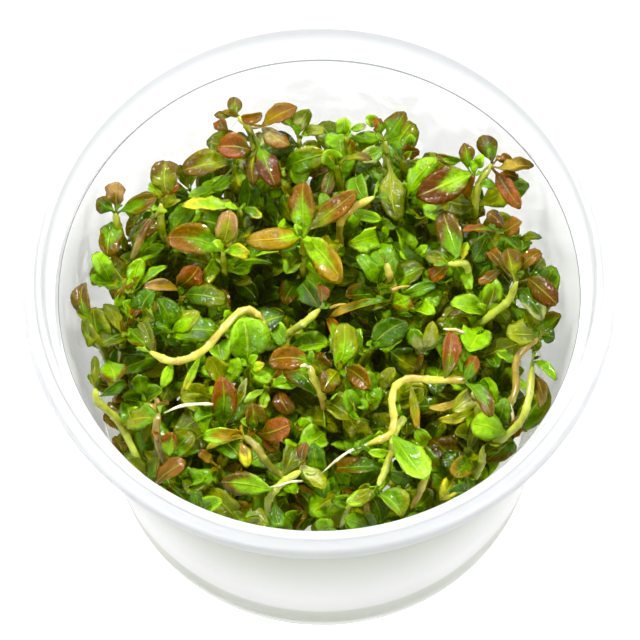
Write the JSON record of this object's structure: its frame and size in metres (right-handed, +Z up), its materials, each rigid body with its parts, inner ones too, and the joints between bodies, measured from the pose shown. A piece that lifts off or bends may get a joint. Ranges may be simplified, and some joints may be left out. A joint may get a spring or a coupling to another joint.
{
  "type": "tissue culture aquarium plant cup",
  "caption": "Round translucent plastic culture cup with a bed of clear gel and a dense stand of small green and red Ludwigia senegalensis shoots.",
  "frame": {"origin": "centre of the cup's flat underside, on the table", "axes": "+Z up along the cup's axis, -Y towards the viewer of the picture"},
  "size_m": [0.1, 0.1, 0.07],
  "materials": {
    "cup_plastic": "translucent moulded polypropylene, smooth",
    "culture_gel": "cloudy wet agar gel",
    "plant": "fresh wet leaf and stem, green turning red at the tips"
  },
  "bodies": {
    "root": {"cup": "cup_plastic", "culture_gel": "culture_gel", "shoot_01": "plant", "shoot_02": "plant", "shoot_03": "plant", "shoot_04": "plant", "shoot_05": "plant", "shoot_06": "plant", "shoot_07": "plant", "shoot_08": "plant", "shoot_09": "plant", "shoot_10": "plant", "shoot_11": "plant", "shoot_12": "plant", "shoot_13": "plant", "shoot_14": "plant", "shoot_15": "plant", "shoot_16": "plant", "shoot_17": "plant", "shoot_18": "plant", "shoot_19": "plant", "shoot_20": "plant", "shoot_21": "plant", "shoot_22": "plant", "shoot_23": "plant", "shoot_24": "plant", "shoot_25": "plant", "shoot_26": "plant", "shoot_27": "plant", "shoot_28": "plant", "shoot_29": "plant", "shoot_30": "plant", "shoot_31": "plant", "shoot_32": "plant", "shoot_33": "plant", "shoot_34": "plant", "shoot_35": "plant", "shoot_36": "plant", "shoot_37": "plant", "shoot_38": "plant", "shoot_39": "plant", "shoot_40": "plant", "shoot_41": "plant", "shoot_42": "plant", "shoot_43": "plant", "shoot_44": "plant", "shoot_45": "plant", "shoot_46": "plant", "shoot_47": "plant", "shoot_48": "plant", "shoot_49": "plant", "shoot_50": "plant"}
  },
  "joints": []
}
